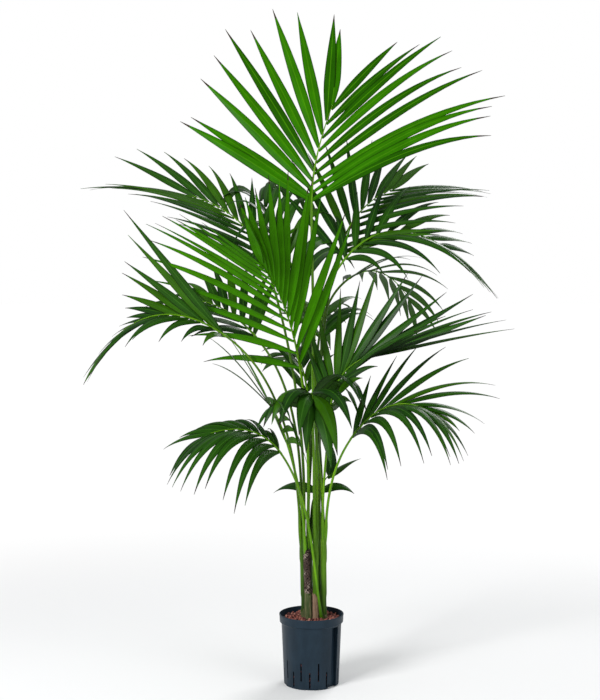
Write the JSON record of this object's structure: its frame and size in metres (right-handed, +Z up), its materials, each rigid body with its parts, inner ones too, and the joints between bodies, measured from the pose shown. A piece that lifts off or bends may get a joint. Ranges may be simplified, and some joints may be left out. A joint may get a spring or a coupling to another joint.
{
  "type": "potted kentia palm",
  "caption": "Kentia palm in a slotted nursery pot: a clump of slender green stems, long arching stalks and feather fronds of pointed, drooping leaflets.",
  "frame": {"origin": "centre of the pot's flat underside, on the floor", "axes": "+Z up along the plant's height; +X to the right of the picture; -Y towards the picture's camera"},
  "size_m": [1.2166, 1.0366, 1.918],
  "materials": {
    "pot_plastic": "satin",
    "clay_pellets": "matt, rough",
    "green_stem": "smooth green bark",
    "brown_fibre": "coarse fibre",
    "leaf_bright": "waxy leaf",
    "leaf_middle": "waxy leaf",
    "leaf_deep": "waxy leaf"
  },
  "bodies": {
    "root": {"clay_fill": "clay_pellets", "frond_arching_left_inner": "leaf_deep", "frond_arching_left_outer": "leaf_deep", "frond_arching_right_inner": "leaf_deep", "frond_arching_right_outer": "leaf_deep", "frond_back": "leaf_deep", "frond_back_right": "leaf_deep", "frond_front": "leaf_bright", "frond_low_back": "leaf_deep", "frond_low_front": "leaf_deep", "frond_lower_left_inner": "leaf_deep", "frond_lower_left_outer": "leaf_deep", "frond_lower_right_inner": "leaf_deep", "frond_lower_right_outer": "leaf_deep", "frond_middle_left": "leaf_deep", "frond_middle_right": "leaf_deep", "frond_small_back": "leaf_deep", "frond_small_left": "leaf_middle", "frond_top": "leaf_bright", "frond_upper_back": "leaf_deep", "frond_upper_left": "leaf_deep", "frond_upper_right": "leaf_deep", "pot": "pot_plastic", "stalk_arching_left": "green_stem", "stalk_arching_right": "green_stem", "stalk_back": "green_stem", "stalk_back_right": "green_stem", "stalk_front": "green_stem", "stalk_low_back": "green_stem", "stalk_low_front": "green_stem", "stalk_lower_left": "green_stem", "stalk_lower_right": "green_stem", "stalk_middle_left": "green_stem", "stalk_middle_right": "green_stem", "stalk_small_back": "green_stem", "stalk_small_left": "green_stem", "stalk_top": "green_stem", "stalk_upper_back": "green_stem", "stalk_upper_left": "green_stem", "stalk_upper_right": "green_stem", "stem_back_left": "green_stem", "stem_back_right": "green_stem", "stem_fibre": "brown_fibre", "stem_left": "green_stem", "stem_middle": "green_stem", "stem_right": "green_stem"}
  },
  "joints": []
}
